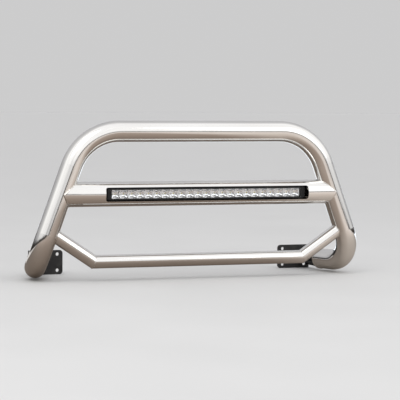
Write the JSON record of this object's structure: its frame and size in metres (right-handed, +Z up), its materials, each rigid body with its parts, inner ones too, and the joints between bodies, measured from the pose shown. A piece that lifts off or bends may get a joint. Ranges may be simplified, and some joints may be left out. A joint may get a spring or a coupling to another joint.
{
  "type": "front grille guard",
  "caption": "Polished tubular hoop guard for a vehicle's front, with a crossbar that holds a tilting light bar, a lower bar and bolt-on frame brackets.",
  "frame": {"origin": "middle of the mounting face: halfway between the two bracket pads, on the plane of their rear faces, level with their hole patterns' centres", "axes": "+X across the vehicle to the right of somebody facing the guard, +Y rearward into the vehicle, +Z up"},
  "size_m": [1.2638, 0.3525, 0.5729],
  "materials": {
    "polished_steel": "mirror-polished stainless tube",
    "black_coated_steel": "satin black powder coat",
    "black_bracket": "satin black powder coat",
    "zinc_steel": "bright zinc plate",
    "stainless_hardware": "plain stainless",
    "black_rubber": "moulded black rubber",
    "black_aluminium": "black anodised aluminium",
    "black_bezel": "semi-gloss black",
    "clear_lens": "clear polycarbonate",
    "board_white": "white solder mask",
    "led_yellow": "phosphor yellow",
    "bright_reflector": "vacuum-metallised cups",
    "black_plastic": "black nylon"
  },
  "bodies": {
    "guard_frame": {"hoop_tube": "polished_steel", "crossbar_tube": "polished_steel", "lower_bar_centre": "polished_steel", "lower_bar_left": "polished_steel", "lower_bar_right": "polished_steel", "stub_cap_left": "polished_steel", "stub_cap_right": "polished_steel", "mount_tang_left": "polished_steel", "mount_tang_right": "polished_steel", "frame_bracket_left": "black_coated_steel", "frame_bracket_right": "black_coated_steel", "bracket_gussets_left": "black_coated_steel", "bracket_gussets_right": "black_coated_steel", "tang_bolts": "zinc_steel", "tang_washers": "zinc_steel", "tang_nuts": "zinc_steel", "light_bracket_left": "black_bracket", "light_bracket_right": "black_bracket", "bracket_spacers": "zinc_steel", "saddle_washers": "stainless_hardware", "bracket_bolts": "stainless_hardware", "bracket_nuts": "zinc_steel", "cable_grommet": "black_rubber"},
    "light_bar": {"light_housing": "black_aluminium", "end_cap_left": "black_aluminium", "end_cap_right": "black_aluminium", "light_bezel": "black_bezel", "end_cap_seals": "black_rubber", "end_cap_screws": "stainless_hardware", "light_lens": "clear_lens", "lens_gasket": "black_rubber", "led_board": "board_white", "led_chips": "led_yellow", "reflector_strip": "bright_reflector", "cable_gland": "black_plastic", "vent_plug": "black_plastic", "pivot_bolts": "stainless_hardware", "pivot_washers": "stainless_hardware"}
  },
  "joints": [
    {"name": "light_tilt", "type": "hinge", "parent": "guard_frame", "child": "light_bar", "pos_m": [0.021, -0.308, 0.2669], "axis": [1, 0, 0], "range_deg": [-10, 10]}
  ]
}
